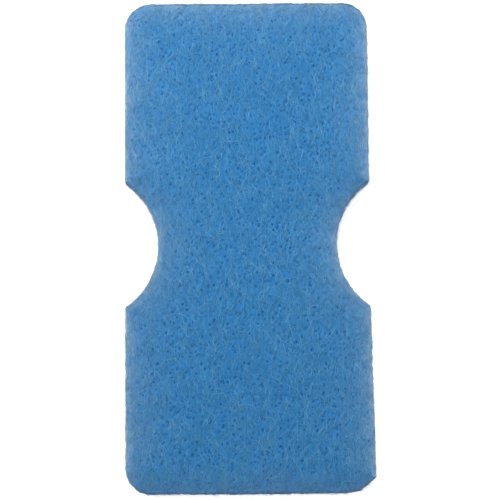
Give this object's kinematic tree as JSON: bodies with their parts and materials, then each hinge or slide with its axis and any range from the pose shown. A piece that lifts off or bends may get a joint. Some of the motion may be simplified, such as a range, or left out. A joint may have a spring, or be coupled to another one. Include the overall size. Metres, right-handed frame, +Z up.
{
  "type": "sponge filter pad",
  "caption": "Flat blue fibre filter pad, an oblong with softly rounded edges and a round notch in each long side for a riser pipe.",
  "frame": {"origin": "middle of the underside, on the surface that the pad lies on", "axes": "+X across the pad from notch to notch, +Y along its length, +Z up through its thickness"},
  "size_m": [0.1014, 0.2, 0.02],
  "materials": {
    "face_fibre": "dyed resin-bonded polyester fibre, matte and porous",
    "core_fibre": "paler lofted polyester fibre, matte and fuzzy"
  },
  "bodies": {
    "root": {"bottom_face_web": "face_fibre", "core_web": "core_fibre", "top_face_web": "face_fibre"}
  },
  "joints": []
}
